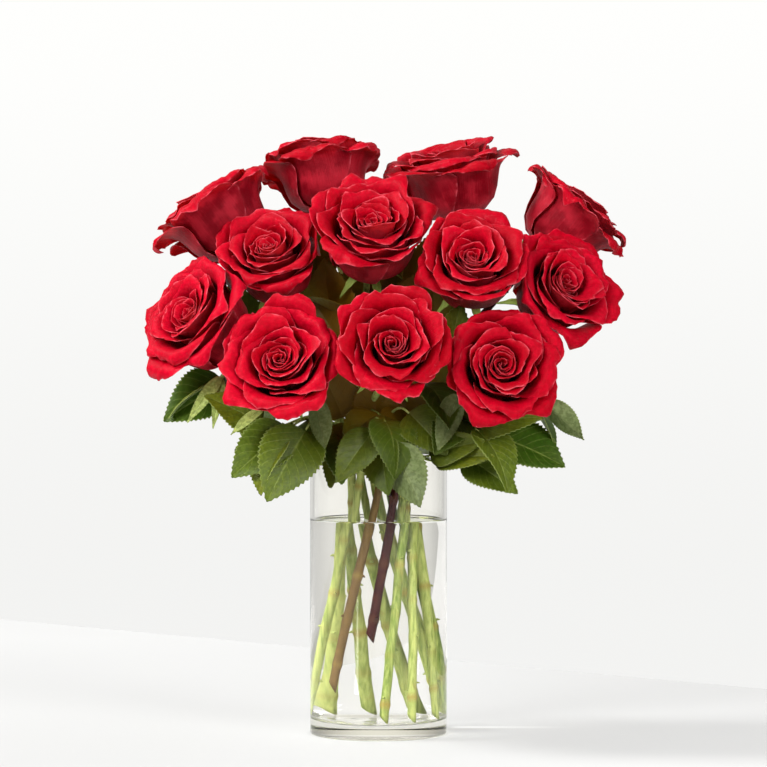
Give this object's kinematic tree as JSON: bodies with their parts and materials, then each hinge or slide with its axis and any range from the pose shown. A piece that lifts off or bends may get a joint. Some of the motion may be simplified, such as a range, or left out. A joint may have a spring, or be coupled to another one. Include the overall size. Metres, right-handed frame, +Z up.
{
  "type": "vase of roses",
  "caption": "Red roses on leafy green stems, standing in a clear glass cylinder vase of water.",
  "frame": {"origin": "centre of the vase's flat underside, on the surface it stands on", "axes": "+Z up along the vase's axis, -Y towards the side of the bouquet that the blooms face, +X to its right"},
  "size_m": [0.3533, 0.2377, 0.4388],
  "materials": {
    "glass": "polished",
    "water": "polished",
    "petals": "matte",
    "foliage": "satin"
  },
  "bodies": {
    "root": {"vase": "glass", "water": "water", "bloom_front_left": "petals", "bloom_front_middle": "petals", "bloom_front_right": "petals", "bloom_side_left": "petals", "bloom_middle_left": "petals", "bloom_middle": "petals", "bloom_middle_right": "petals", "bloom_side_right": "petals", "bloom_back_left": "petals", "bloom_top_left": "petals", "bloom_top_right": "petals", "bloom_back_right": "petals", "stem_front_left": "foliage", "stem_front_middle": "foliage", "stem_front_right": "foliage", "stem_side_left": "foliage", "stem_middle_left": "foliage", "stem_middle": "foliage", "stem_middle_right": "foliage", "stem_side_right": "foliage", "stem_back_left": "foliage", "stem_top_left": "foliage", "stem_top_right": "foliage", "stem_back_right": "foliage"}
  },
  "joints": []
}
